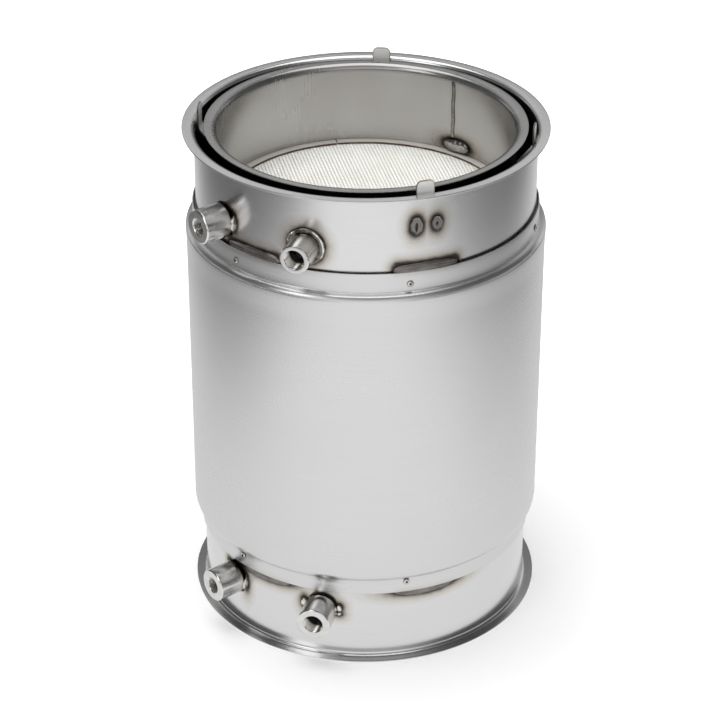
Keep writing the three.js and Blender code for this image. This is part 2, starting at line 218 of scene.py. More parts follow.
# name, place, what it points at, size and power
SOFTBOXES = [
    ("top_softbox", (-0.15, 0.1, 2.3), (0, 0, 0.3), TOP_SIZE, 46),
    ("front_left_softbox", (-1.6, -1.7, 1.7), (0, 0, 0.25), (0.9, 1.4), 7),
]
TOP_CARD_PLACE = (-0.15, 0.1, 2.25)
TOP_CARD_GLOW = 1.9
BACK_CARD_PLACE = (0, 1.15, 0.45)
BACK_CARD_SIZE = (3.2, 0.9)
BACK_CARD_GLOW = (0.17, 0.9)     # in the middle and at the sides
BACK_CARD_SPAN = (0.35, 1.5)

CAMERA_PLACE = (-0.00279, -2.0524, 1.3826)
CAMERA_PITCH = 60.583        # degrees
CAMERA_ROLL = 0.0023
CAMERA_LENS = 124.94
CAMERA_SHIFT = (-0.0034, 0.0060)

random.seed(7)


# ---- outlines

def arc(centre, radius, start, end, steps=8):
    """Points along a round bend, both ends included. Angles are in degrees."""
    turns = [math.radians(start + (end - start) * i / steps) for i in range(steps + 1)]
    return [(centre[0] + radius * math.cos(t), centre[1] + radius * math.sin(t)) for t in turns]


def curve(start, corner, end, steps):
    """A soft bend from start to end that leans towards a corner."""
    shares = [k / steps for k in range(steps + 1)]
    return [tuple(start * (1 - t) ** 2 + corner * 2 * t * (1 - t) + end * t * t) for t in shares]


def rounded(outline, radius, steps=3):
    """Replaces each sharp corner of a closed outline by a small curve."""
    points = [Vector(p) for p in outline]
    result = []
    for i, corner in enumerate(points):
        before = corner - points[i - 1]
        after = points[(i + 1) % len(points)] - corner
        turn = before.angle(after, 0)
        if math.degrees(turn) < SHARP_TURN:
            result.append(tuple(corner))
            continue
        reach = min(radius * math.tan(turn / 2), 0.45 * before.length, 0.45 * after.length)
        start = corner - before.normalized() * reach
        result += curve(start, corner, corner + after.normalized() * reach, steps)
    return result


def spaced(outline, step):
    """Splits the long stretches of a closed outline, so that no stretch is longer than step."""
    result = []
    for i, point in enumerate(outline):
        start = Vector(point)
        end = Vector(outline[(i + 1) % len(outline)])
        count = max(1, math.ceil((end - start).length / step))
        result += [tuple(start.lerp(end, k / count)) for k in range(count)]
    return result


def height_at(end, depth):
    return TOP - depth if end == INLET else depth


def from_end(end, outline):
    """Turns (radius, depth) points into (radius, height)."""
    return [(r, height_at(end, depth)) for r, depth in outline]


# ---- meshes

def edited(mesh, *steps):
    """Runs each step on the points, edges and faces of a mesh."""
    work = bmesh.new()
    work.from_mesh(mesh)
    for step in steps:
        step(work)
    work.to_mesh(mesh)
    work.free()
    return mesh


def merge_points(work):
    bmesh.ops.remove_doubles(work, verts=work.verts, dist=1e-6)


def fill_gaps(work):
    bmesh.ops.holes_fill(work, edges=[edge for edge in work.edges if edge.is_boundary])


def face_outward(work):
    bmesh.ops.recalc_face_normals(work, faces=work.faces)


def mark_smooth(work):
    limit = math.radians(SHARP_TURN)
    for face in work.faces:
        face.smooth = True
    for edge in work.edges:
        edge.smooth = edge.calc_face_angle(0) < limit


def clean_mesh(name, vertices, faces, levels=None):
    """A smooth closed mesh with sharp edges; levels are a name and a number for each point."""
    mesh = bpy.data.meshes.new(name)
    mesh.from_pydata(vertices, [], faces)
    if levels:
        store(mesh, *levels)
    return edited(mesh, merge_points, face_outward, mark_smooth)


def store(mesh, name, values):
    """Keeps a number for each point of a mesh, which a material reads by its name."""
    attribute = mesh.attributes.new(name, "FLOAT", "POINT")
    attribute.data.foreach_set("value", values)


def patch(name, rows, closed_rows, levels=None):
    """Joins equal rows of points into a closed skin; each row is itself a closed loop."""
    count = len(rows[0])
    vertices = [point for row in rows for point in row]
    faces = []
    for i in range(len(rows) if closed_rows else len(rows) - 1):
        here = i * count
        there = (i + 1) % len(rows) * count
        for k in range(count):
            following = (k + 1) % count
            faces.append((here + k, there + k, there + following, here + following))
    if not closed_rows:
        faces.append(tuple(range(count)))
        faces.append(tuple(range((len(rows) - 1) * count, len(rows) * count)))
    return clean_mesh(name, vertices, faces, levels)


def revolve(name, outline, segments=RING_SEGMENTS, start=0, sweep=360):
    """Turns a closed outline of (radius, height) about the Z axis, whole or in part."""
    whole = sweep == 360
    rows = []
    for i in range(segments if whole else segments + 1):
        turn = math.radians(start + sweep * i / segments)
        rows.append([(r * math.sin(turn), -r * math.cos(turn), z) for r, z in outline])
    return patch(name, rows, whole)


def radial_frame(angle, height):
    """Local X along the tangent, local Y up and local Z out along a radius of the canister."""
    turn = math.radians(angle)
    out = Vector((math.sin(turn), -math.cos(turn), 0))
    tangent = Vector((math.cos(turn), math.sin(turn), 0))
    up = Vector((0, 0, 1))
    place = Matrix.Translation((0, 0, height))
    return place @ Matrix((tangent, up, out)).transposed().to_4x4()


def new_object(name, data):
    made = bpy.data.objects.new(name, data)
    bpy.context.scene.collection.objects.link(made)
    return made


def add_piece(name, mesh, material, nodes, matrix=None):
    """Shows a mesh in place of CAD nodes, with its material."""
    piece = new_object(name, mesh)
    if matrix is not None:
        piece.matrix_world = matrix
    mesh.materials.clear()
    mesh.materials.append(material)
    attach(piece, "root")
    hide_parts(*nodes)
    return piece


def add_bead(name, mesh, material, matrix=None):
    add_piece(f"{name}_bead", mesh, material, [name], matrix)


def darken_gap(mesh, inner, outer, low, high):
    """Gives a sheet's faces in the closed-off gap between two walls a near-black steel, as painted shade
    in the deep gap.
    """
    mesh.materials.append(GAP_SHADE_STEEL)
    for polygon in mesh.polygons:
        x, y, z = polygon.center
        if inner < math.hypot(x, y) < outer and low < z < high:
            polygon.material_index = 1


def cut_holes(mesh, holes):
    """Cuts round holes through a wall. A hole is (angle, height, radius, inner and outer distance)."""
    target = new_object("hole_target", mesh)
    for angle, height, radius, inner, outer in holes:
        outline = [(0, inner), (radius, inner), (radius, outer), (0, outer)]
        drill = new_object("drill", revolve("drill", outline, 64))
        drill.matrix_world = radial_frame(angle, height)
        modifier = target.modifiers.new("hole", "BOOLEAN")
        modifier.object = drill
        modifier.operation = "DIFFERENCE"
        modifier.solver = "EXACT"
        bpy.context.view_layer.update()
        bpy.context.view_layer.objects.active = target
        bpy.ops.object.modifier_apply(modifier=modifier.name)
        bpy.data.objects.remove(drill)
    result = target.data
    bpy.data.objects.remove(target)
    return edited(result, mark_smooth)


# ---- heat tint

def sideways_from(angle, points, radius):
    """How far points on a wall are, the shorter way round, from an upright line on it."""
    around = np.arctan2(points[:, 0], -points[:, 1]) * radius - math.radians(angle) * radius
    whole = 2 * math.pi * radius
    return (around + whole / 2) % whole - whole / 2


def gap_to_bar(points, radius, angle, half_span, low, high):
    """How far points on a wall are from an upright rectangle on it."""
    sideways = np.abs(sideways_from(angle, points, radius)) - math.radians(half_span) * radius
    upward = np.maximum(low - points[:, 2], points[:, 2] - high)
    return np.hypot(np.maximum(sideways, 0), np.maximum(upward, 0))


def gap_to_oval(points, radius, angle, height, half_width, half_height):
    """Roughly how far points on a wall are from an oval on it."""
    sideways = sideways_from(angle, points, radius)
    reach = np.hypot(sideways / half_width, (points[:, 2] - height) / half_height)
    return np.maximum(reach - 1, 0) * min(half_width, half_height)


def store_gap(mesh, gaps):
    """Keeps each point's distance in metres to the nearest weld, for the heat tint; on bosses, rivets,
    retaining rings and clips it is a made-up distance that paints shade.
    """
    store(mesh, "tint_and_shade_gap", np.min(gaps, axis=0).astype(np.float32))


def mesh_points(mesh):
    flat = np.zeros(len(mesh.vertices) * 3, np.float32)
    mesh.vertices.foreach_get("co", flat)
    return flat.reshape(-1, 3)


def collar_gaps(points, end):
    """Distances from a collar's points to each weld on it."""
    gaps = []

    def from_oval(*oval):
        return gap_to_oval(points, COLLAR_RADIUS, *oval)

    for _, boss_end, angle, _, _, middle, half, least, lumps in BOSSES:
        if boss_end != end:
            continue
        height = height_at(end, BOSS_DEPTH)
        if least > RING_WELD:
            size = (middle + half * least) * MM
            gaps.append(0.8 * from_oval(angle, height, size, size))
            continue
        for direction, _, width in lumps:
            turn = math.radians(direction)
            aside = angle + math.degrees(middle * MM * math.cos(turn) / COLLAR_RADIUS)
            spread = middle * MM * math.radians(width)
            above = height + middle * MM * math.sin(turn)
            gaps.append(from_oval(aside, above, half * MM, spread))
    edge = height_at(end, NECK_EDGE)
    for angle in STITCH_ANGLES[end]:
        if end == INLET:
            bar = (angle, STITCH_SPAN / 2 - 1.5, edge, edge + STITCH_HEIGHT - 4.2 * MM)
            gaps.append(np.maximum(gap_to_bar(points, COLLAR_RADIUS, *bar) - 3.6 * MM, 0))
        else:
            half_width = math.radians(STITCH_SPAN / 2) * COLLAR_RADIUS
            gaps.append(from_oval(angle, edge, half_width, STITCH_HEIGHT - 1 * MM))
    if end == INLET:
        for _, angle, half_width, half_height, _ in PLUG_WELDS:
            size = (0.94 * half_width * MM, 0.94 * half_height * MM)
            gaps.append(from_oval(angle, TOP - PLUG_DEPTH, *size))
    return gaps


# ---- materials

class Nodes:
    """A short way to wire the nodes of a material or of the world."""

    def __init__(self, owner, shader="Principled BSDF", space="Object"):
        owner.use_nodes = True
        self.owner = owner
        self.tree = owner.node_tree
        self.shader = self.tree.nodes[shader]
        self.coordinates = self.new("ShaderNodeTexCoord").outputs[space]

    def new(self, kind, feeds=None, **settings):
        """Adds a node, with its settings and a value or an output for each socket named in feeds."""
        node = self.tree.nodes.new(kind)
        for key, value in settings.items():
            setattr(node, key, value)
        for socket, value in (feeds or {}).items():
            self.feed(node.inputs[socket], value)
        return node

    def feed(self, socket, value):
        """Gives a socket a number, a colour or another node's output."""
        if isinstance(value, (int, float)):
            socket.default_value = value
        elif isinstance(value, tuple):
            socket.default_value = (*value, 1)
        else:
            self.tree.links.new(value, socket)

    def shade(self, socket, value):
        self.feed(self.shader.inputs[socket], value)

    def finish(self, colour, roughness, metallic=0.0):
        """Feeds the shader and gives back the material."""
        self.shade("Base Color", colour)
        self.shade("Roughness", roughness)
        self.shade("Metallic", metallic)
        return self.owner

    def level(self, name):
        """A number that the mesh keeps for each of its points."""
        return self.new("ShaderNodeAttribute", attribute_name=name).outputs["Fac"]

    def along(self, axis):
        return self.new("ShaderNodeSeparateXYZ", {"Vector": self.coordinates}).outputs[axis]

    def noise(self, stretch, scale, detail=4, roughness=0.55):
        """Noise in object space, stretched along the axes by a vector of scales."""
        mapping = self.new("ShaderNodeMapping", {"Vector": self.coordinates})
        mapping.inputs["Scale"].default_value = stretch
        place = mapping.outputs["Vector"]
        feeds = {"Scale": scale, "Detail": detail, "Roughness": roughness, "Vector": place}
        return self.new("ShaderNodeTexNoise", feeds).outputs["Fac"]

    def ranged(self, value, low, high, start=0.3, end=0.7, kind="LINEAR"):
        """Maps a value from start..end to low..high."""
        feeds = {"From Min": start, "From Max": end, "To Min": low, "To Max": high, "Value": value}
        return self.new("ShaderNodeMapRange", feeds, interpolation_type=kind).outputs["Result"]

    def math(self, operation, first, second=0.0):
        feeds = {0: first, 1: second}
        return self.new("ShaderNodeMath", feeds, operation=operation).outputs["Value"]

    def ramp(self, value, stops):
        """A colour ramp; stops are (position, grey or colour)."""
        node = self.new("ShaderNodeValToRGB")
        elements = node.color_ramp.elements
        while len(elements) < len(stops):
            elements.new(0.5)
        for element, (position, colour) in zip(elements, stops):
            element.position = position
            element.color = (*((colour,) * 3 if isinstance(colour, (int, float)) else colour), 1)
        self.feed(node.inputs["Fac"], value)
        return node.outputs["Color"]

    def mix(self, factor, first, second, blend="MIX"):
        """Mixes two colours; each is an output or three numbers."""
        feeds = {"Factor": factor, "A": first, "B": second}
        return self.new("ShaderNodeMix", feeds, data_type="RGBA", blend_type=blend).outputs["Result"]

    def bump(self, height, strength, distance):
        feeds = {"Strength": strength, "Distance": distance, "Height": height}
        normal = self.new("ShaderNodeBump", feeds).outputs["Normal"]
        self.shade("Normal", normal)


def new_material(name):
    return Nodes(bpy.data.materials.new(name))


def shaded(colour, share):
    """A darker or lighter tone of a colour."""
    return tuple(c * share for c in colour)


def sheet_steel(name, colour, roughness, grain, tinted=False, stain=0.0, metallic=1.0):
    """Satin rolled stainless sheet: fine grain, faint smudges and heat tint near welds; on the retaining
    rings and clips the tint ramp paints shade along the edges instead.
    """
    nodes = new_material(name)
    fine = nodes.noise(grain, 22, 5)
    smudge = nodes.noise((1, 1, 1), 9, 3)
    base = nodes.mix(nodes.ranged(fine, 0, 1), shaded(colour, 0.965), colour)
    broad = nodes.ranged(smudge, roughness - 0.02, roughness + 0.03)
    rough = nodes.math("ADD", nodes.ranged(fine, -0.009, 0.011), broad)
    if stain:
        patch_tone = nodes.ranged(nodes.noise((1, 1, 0.5), 12, 2), 0, stain, 0.4, 0.7)
        base = nodes.mix(patch_tone, base, (0.22, 0.2, 0.18))
    if tinted:
        wobble = nodes.ranged(nodes.noise((1, 1, 1), 90, 3), -0.05, 0.05)
        share = nodes.math("ADD", nodes.math("DIVIDE", nodes.level("tint_and_shade_gap"), TINT_REACH), wobble)
        base = nodes.mix(1.0, base, nodes.ramp(share, HEAT_TINT_AND_EDGE_SHADE), "MULTIPLY")
        rough = nodes.math("ADD", rough, nodes.ranged(share, 0.12, 0, 0, 0.5))
    nodes.bump(fine, 0.01, 0.02 * MM)
    return nodes.finish(base, rough, metallic)


def turned_steel(name, colour, roughness):
    """Bright lathe-turned steel: fine rings across the part's own axis, with small scuffs, heat tint, and
    painted shade in bores, behind bosses and round rivet heads.
    """
    nodes = new_material(name)
    rings = nodes.noise((0.02, 0.02, 90), 60, 3)
    scuffs = nodes.noise((1, 1, 1), 160, 4)
    base = nodes.mix(nodes.ranged(scuffs, 0, 1, 0.35, 0.6), shaded(colour, 0.93), colour)
    share = nodes.math("DIVIDE", nodes.level("tint_and_shade_gap"), TINT_REACH)
    base = nodes.mix(1.0, base, nodes.ramp(share, BOSS_TINT_AND_SHADE), "MULTIPLY")
    broad = nodes.ranged(scuffs, roughness - 0.02, roughness + 0.03)
    rough = nodes.math("ADD", nodes.ranged(rings, -0.03, 0.04), broad)
    nodes.bump(rings, 0.6, 0.05 * MM)
    return nodes.finish(base, rough, 1)


def short_weld_metal(name, level, stops, uneven, roughness, metallic, bump):
    """A short weld, whose colour follows a number kept on its points, with a rough skin."""
    nodes = new_material(name)
    wobble = nodes.ranged(nodes.noise((1, 1, 1), uneven, 4), -0.1, 0.1)
    share = nodes.math("ADD", nodes.level(level), wobble)
    nodes.bump(nodes.noise((1, 1, 1), 500, 3), *bump)
    return nodes.finish(nodes.ramp(share, stops), roughness, metallic)


def boss_weld_metal(name, dark, grey, light):
    """A weld that is oxide-dark at its toes and low parts, with a painted highlight on its crests."""
    stops = [(0.0, dark), (0.2, dark), (0.42, grey), (0.66, grey), (0.85, light), (1.0, light)]
    return short_weld_metal(name, "oxide_and_highlight", stops, 240, 0.24, 1, (0.15, 0.1 * MM))


def crater_metal(name, rim, floor):
    """A plug weld: dark oxide towards its edge and in the crater, cleaner metal between."""
    stops = [(0.0, rim), (0.16, rim), (0.3, floor), (0.62, floor), (0.82, rim), (1.0, rim)]
    return short_weld_metal(name, "rim_share", stops, 260, 0.33, 0.95, (0.2, 0.15 * MM))


def long_weld_metal(name, light, dark, roughness, stretch):
    """A smooth long bead with an oxide skin, streaked along its length."""
    nodes = new_material(name)
    streaks = nodes.noise(stretch, 60, 4)
    clouds = nodes.noise((1, 1, 1), 90, 3)
    share = nodes.math("ADD", nodes.math("MULTIPLY", streaks, 0.7), nodes.math("MULTIPLY", clouds, 0.3))
    nodes.bump(streaks, 0.2, 0.15 * MM)
    rough = nodes.ranged(streaks, roughness + 0.06, roughness - 0.04)
    return nodes.finish(nodes.ramp(share, [(0.4, dark), (0.6, light)]), rough, 0.95)


def dull_steel(name, colour):
    """Mill-finish steel with a grey-brown scale."""
    nodes = new_material(name)
    scale = nodes.noise((1, 1, 1), 45, 5)
    base = nodes.mix(nodes.ranged(scale, 0, 1), shaded(colour, 0.6), colour)
    nodes.bump(scale, 0.2, 0.1 * MM)
    return nodes.finish(base, nodes.ranged(scale, 0.45, 0.65), 1)


def ceramic(name):
    """Matt extruded ceramic, a little uneven in tone."""
    nodes = new_material(name)
    mottle = nodes.noise((1, 1, 0.2), 55, 4)
    base = nodes.mix(nodes.ranged(mottle, 0, 1), (0.90, 0.885, 0.83), (0.95, 0.94, 0.91))
    nodes.bump(nodes.noise((1, 1, 1), 1400, 2), 0.3, 0.05 * MM)
    return nodes.finish(base, 0.95)


def fibre(name, colour):
    """Needled ceramic-fibre mat."""
    nodes = new_material(name)
    strands = nodes.noise((1, 1, 5), 260, 5, 0.7)
    base = nodes.mix(nodes.ranged(strands, 0, 1), shaded(colour, 0.8), colour)
    nodes.bump(strands, 0.8, 0.5 * MM)
    return nodes.finish(base, 1)


SHIELD_STEEL = sheet_steel("shield_steel", (0.69, 0.69, 0.69), 0.28, AROUND, tinted=True)
COLLAR_STEEL = sheet_steel("collar_steel", (0.72, 0.72, 0.72), 0.21, AROUND, tinted=True)
LINER_STEEL = sheet_steel("liner_steel", (0.46, 0.455, 0.45), 0.25, UPRIGHT, tinted=True, stain=0.2)
# the retaining rings and clips get painted edge shade through the tint ramp
RETAINER_STEEL = sheet_steel("retainer_steel", (0.68, 0.65, 0.60), 0.5, AROUND, tinted=True, metallic=0.4)
CLIP_STEEL = sheet_steel("clip_steel", (0.94, 0.94, 0.93), 0.45, (1, 1, 12), tinted=True, metallic=0.3)
TURNED_STEEL = turned_steel("turned_steel", (0.73, 0.725, 0.71), 0.17)
RIVET_STEEL = turned_steel("rivet_steel", (0.62, 0.61, 0.59), 0.25)
DULL_STEEL = dull_steel("dull_steel", (0.32, 0.31, 0.30))
# near-black steel that paints the shade inside the closed gap between collar and liner
GAP_SHADE_STEEL = dull_steel("gap_shade_steel", (0.02, 0.02, 0.02))
WELD_OXIDE = (0.03, 0.026, 0.023)
BOSS_WELD = boss_weld_metal("boss_weld_metal", WELD_OXIDE, (0.20, 0.19, 0.175), (0.75, 0.74, 0.71))
STITCH_WELD = long_weld_metal("stitch_weld_metal", (0.30, 0.285, 0.27), (0.11, 0.10, 0.095), 0.3, AROUND)
SEAM_WELD = boss_weld_metal("seam_weld_metal", WELD_OXIDE, (0.26, 0.25, 0.24), (0.6, 0.59, 0.57))
PLUG_WELD = crater_metal("plug_weld_metal", (0.045, 0.04, 0.036), (0.23, 0.22, 0.205))
CERAMIC = ceramic("filter_ceramic")
MAT_FIBRE = fibre("mat_fibre", (0.84, 0.81, 0.74))
BLANKET_FIBRE = fibre("blanket_fibre", (0.82, 0.79, 0.72))


# ---- sheets

def gap_heights(end, part):
    """The lowest and highest height of the closed gap between collar and liner."""
    start = GAP_TOP[part]
    return (0, TOP - start) if end == INLET else (start, TOP)


def build_collar(end):
    """The rolled outer collar, flared into the clamp flange, with the boss holes cut through."""
    name = f"{end}_collar"
    wall = COLLAR_RADIUS - SHEET
    centre = (COLLAR_RADIUS + COLLAR_BEND, SHEET + COLLAR_BEND)
    outline = [
        (FLANGE_RADIUS, 0),
        (FLANGE_RADIUS, SHEET),
        *arc(centre, COLLAR_BEND, 270, 180),
        (COLLAR_RADIUS, COLLAR_DEPTH),
        (wall, COLLAR_DEPTH),
        *arc(centre, COLLAR_BEND + SHEET, 180, 270),
    ]
    outline = spaced(rounded(outline, 0.6 * MM), 2.5 * MM)
    mesh = revolve(name, from_end(end, outline), SHEET_SEGMENTS)
    holes = []
    for _, boss_end, angle, radius, *_ in BOSSES:
        if boss_end == end:
            size = radius * MM - BOSS_STEP + HOLE_CLEARANCE
            span = (wall - HOLE_REACH, COLLAR_RADIUS + HOLE_REACH)
            holes.append((angle, height_at(end, BOSS_DEPTH), size, *span))
    mesh = cut_holes(mesh, holes)
    store_gap(mesh, collar_gaps(mesh_points(mesh), end))
    add_piece(f"{name}_sheet", mesh, COLLAR_STEEL, [name])
    darken_gap(mesh, wall - 0.1 * MM, wall + 0.1 * MM, *gap_heights(end, "collar"))


def build_liner(end):
    """The inner tube with its folded lip and the probe ports."""
    name = f"{end}_liner"
    outside = LINER_BORE + SHEET
    centre = (LINER_BORE + LINER_BEND, LINER_BEND)
    outline = [
        (LIP_RADIUS, 0),
        (LIP_RADIUS, SHEET),
        *arc(centre, LINER_BEND - SHEET, 270, 180),
        (outside, LINER_DEPTH),
        (LINER_BORE, LINER_DEPTH),
        *arc(centre, LINER_BEND, 180, 270),
    ]
    outline = spaced(rounded(outline, 0.3 * MM), 3 * MM)
    mesh = revolve(name, from_end(end, outline))
    holes = [
        (boss[2], height_at(end, BOSS_DEPTH), PORT_RADIUS, LINER_BORE - HOLE_REACH, outside + HOLE_REACH)
        for boss in BOSSES if boss[1] == end
    ]
    mesh = cut_holes(mesh, holes)
    points = mesh_points(mesh)
    if end == INLET:
        low = TOP - LINER_DEPTH
        tack = (TACK_ANGLE, low + TACK_HALF_HEIGHT, TACK_HALF_WIDTH, TACK_HALF_HEIGHT)
        seam_gap = gap_to_bar(points, LINER_BORE, SEAM_ANGLE, 0.2, low, TOP) + 6 * MM
        gaps = [gap_to_oval(points, LINER_BORE, *tack), seam_gap]
    else:
        gaps = [np.full(len(points), TINT_REACH * 2)]
    store_gap(mesh, gaps)
    add_piece(f"{name}_tube", mesh, LINER_STEEL, [name])
    darken_gap(mesh, outside - 0.1 * MM, outside + 8 * MM, *gap_heights(end, "liner"))


def build_shield():
    """The spun heat shield: straight necks, folded roots and round shoulders."""
    t = SHIELD_SHEET
    upper = (SHIELD_BEAD - UPPER_BEND, TOP - UPPER_SHOULDER)
    lower = (SHIELD_RADIUS - LOWER_BEND, LOWER_SHOULDER)
    outline = [
        (NECK_RADIUS, NECK_EDGE),
        (NECK_RADIUS, LOWER_NECK_ROOT),
        *arc(lower, LOWER_BEND, -LOWER_BEND_ANGLE, 0, 12),
        (SHIELD_RADIUS, TOP - BEAD_END),
        *arc(upper, UPPER_BEND, 0, UPPER_BEND_ANGLE, 12),
        (NECK_RADIUS, TOP - UPPER_NECK_ROOT),
        (NECK_RADIUS, TOP - NECK_EDGE),
        (NECK_RADIUS - t, TOP - NECK_EDGE),
        (NECK_RADIUS - t, TOP - UPPER_NECK_ROOT - t / 2),
        *arc(upper, UPPER_BEND - t, UPPER_BEND_ANGLE, 0, 12),
        (SHIELD_RADIUS - t, TOP - BEAD_END),
        *arc(lower, LOWER_BEND - t, 0, -LOWER_BEND_ANGLE, 12),
        (NECK_RADIUS - t, LOWER_NECK_ROOT + t / 2),
        (NECK_RADIUS - t, NECK_EDGE),
    ]
    outline = spaced(rounded(outline, FOLD_RADIUS, 5), 6 * MM)
    mesh = revolve("heat_shield", outline, SHEET_SEGMENTS)
    points = mesh_points(mesh)
    gaps = []
    for end in ENDS:
        edge = height_at(end, NECK_EDGE)
        for angle in STITCH_ANGLES[end]:
            low = edge if end == INLET else edge - STITCH_HEIGHT
            bar = (angle, STITCH_SPAN / 2 - 1, low, low + STITCH_HEIGHT)
            gaps.append(gap_to_bar(points, NECK_RADIUS, *bar) + 6 * MM)
    store_gap(mesh, gaps)
    add_piece("heat_shield_sheet", mesh, SHIELD_STEEL, ["heat_shield"])


def build_retainer(end):
    """The split ring over the filter's edge."""
    name = f"{end}_retaining_ring"
    low, high = RETAINER_DEPTHS
    bore = RETAINER_BORE
    outline = [(bore, low), (RETAINER_RADIUS, low), (RETAINER_RADIUS, high), (bore, high)]
    outline = from_end(end, spaced(rounded(outline, 0.6 * MM), 0.8 * MM))
    start = RETAINER_SPLIT_ANGLE + RETAINER_SPLIT / 2
    mesh = revolve(name, outline, RING_SEGMENTS, start, 360 - RETAINER_SPLIT)
    # painted shade: dark lines along the ring's inner and outer edges, through the tint ramp
    away = np.hypot(*mesh_points(mesh)[:, :2].T)
    from_edge = np.minimum(away - bore, RETAINER_RADIUS - away)
    store_gap(mesh, [0.9 * MM + 8 * np.maximum(from_edge, 0)])
    add_piece(f"{name}_split", mesh, RETAINER_STEEL, [name])


# ---- filter

def build_filter_face(end):
    """The filter's face: open square cells and shallow plugs in a checkerboard."""
    face = height_at(end, FILTER_DEPTH)
    inward = -1 if end == INLET else 1
    row = math.radians(90 + CELL_TURN)
    first = Vector((math.cos(row + math.pi / 4), math.sin(row + math.pi / 4)))
    second = Vector((math.cos(row - math.pi / 4), math.sin(row - math.pi / 4)))
    reach = math.ceil(CELL_FIELD / CELL_PITCH)
    inset = CELL_WALL / 2 / CELL_PITCH
    base = face + inward * (CELL_DEPTH + 1 * MM)

    def place(i, j, height):
        spot = (first * i + second * j) * CELL_PITCH
        return (spot.x, spot.y, height)

    def kept(i, j):
        return ((first * (i + 0.5) + second * (j + 0.5)) * CELL_PITCH).length < CELL_FIELD

    vertices = []
    faces = []
    shared = {}

    def corner(i, j, height):
        key = (i, j, height)
        if key not in shared:
            shared[key] = len(vertices)
            vertices.append(place(i, j, height))
        return shared[key]

    around = ((0, 0), (1, 0), (1, 1), (0, 1))
    inner = ((inset, inset), (1 - inset, inset), (1 - inset, 1 - inset), (inset, 1 - inset))
    neighbours = ((0, -1), (1, 0), (0, 1), (-1, 0))
    for i in range(-reach, reach):
        for j in range(-reach, reach):
            if not kept(i, j):
                continue
            depth = CELL_DEPTH if (i + j) % 2 == 0 else PLUG_RECESS
            rim = [corner(i + a, j + b, face) for a, b in around]
            mouth = len(vertices)
            vertices += [place(i + a, j + b, face) for a, b in inner]
            vertices += [place(i + a, j + b, face + inward * depth) for a, b in inner]
            faces.append(tuple(range(mouth + 4, mouth + 8)))
            for k in range(4):
                following = (k + 1) % 4
                faces.append((rim[k], rim[following], mouth + following, mouth + k))
                faces.append((mouth + k, mouth + following, mouth + 4 + following, mouth + 4 + k))
                if not kept(i + neighbours[k][0], j + neighbours[k][1]):
                    a = around[k]
                    b = around[following]
                    low = corner(i + b[0], j + b[1], base)
                    faces.append((rim[following], rim[k], corner(i + a[0], j + a[1], base), low))
    mesh = bpy.data.meshes.new(f"{end}_cells")
    mesh.from_pydata(vertices, [], faces)
    edited(mesh, fill_gaps, face_outward)
    add_piece(f"{end}_filter_cells", mesh, CERAMIC, ["ceramic_filter"])


def build_filter_body():
    """The brick's skin and body, hollowed a little at each end for the cell faces."""
    well = CELL_DEPTH + 1.3 * MM
    skin = CELL_FIELD + 2 * MM
    low = FILTER_DEPTH
    lower = [(0, low + well), (skin, low + well), (skin, low), (FILTER_RADIUS, low)]
    upper = [(r, TOP - depth) for r, depth in reversed(lower)]
    mesh = revolve("filter_body", lower + upper, 192)
    add_piece("ceramic_filter_body", mesh, CERAMIC, ["ceramic_filter"])


# ---- bosses

def build_boss(name, end, angle, radius, bore):
    """A turned sensor boss: chamfered face, threaded bore and a stepped spigot."""
    thread = []
    depth = BOSS_FACE - BOSS_CHAMFER
    for i in range(THREAD_TURNS):
        for turn, height in ((0, 0), (0.12, 0), (0.5, THREAD_HEIGHT), (0.88, 0)):
            thread.append((bore + height, depth - (i + turn) * THREAD_PITCH))
    outside = [
        (bore, BOSS_SPIGOT_END),
        (radius - BOSS_STEP, BOSS_SPIGOT_END),
        (radius - BOSS_STEP, BOSS_BACK),
        (radius - 0.5 * MM, BOSS_BACK),
        (radius, BOSS_BACK + 0.5 * MM),
        (radius, BOSS_FACE - BOSS_CHAMFER),
        (radius - BOSS_CHAMFER, BOSS_FACE),
        (bore + BOSS_CHAMFER, BOSS_FACE),
    ]
    outline = spaced(rounded(outside, 0.12 * MM, 2) + thread, 1 * MM)
    mesh = revolve(name, outline, 96)
    points = mesh_points(mesh)
    # painted shade: the spigot behind the back is near black and the bore darkens deeper in; the body's
    # back end is part heat tint, part painted shade
    beyond = points[:, 2] - BOSS_BACK
    back_tint_and_shade = np.where(beyond < -0.05 * MM, 0.5 * MM, 3.2 * MM + 2 * beyond)
    in_bore = np.hypot(points[:, 0], points[:, 1]) < bore + THREAD_HEIGHT + 0.05 * MM
    bore_shade = np.maximum(TINT_REACH - 0.9 * (BOSS_FACE - points[:, 2]), 0)
    store_gap(mesh, [back_tint_and_shade, np.where(in_bore, bore_shade, TINT_REACH)])
    place = radial_frame(angle, height_at(end, BOSS_DEPTH))
    add_piece(f"{name}_turned", mesh, TURNED_STEEL, [name], place)


def lump(direction, centre, width):
    """How much a weld lump at one direction swells the bead at another. Angles are in degrees."""
    away = (direction - centre + 180) % 360 - 180
    return math.exp(-(away / width) ** 4)


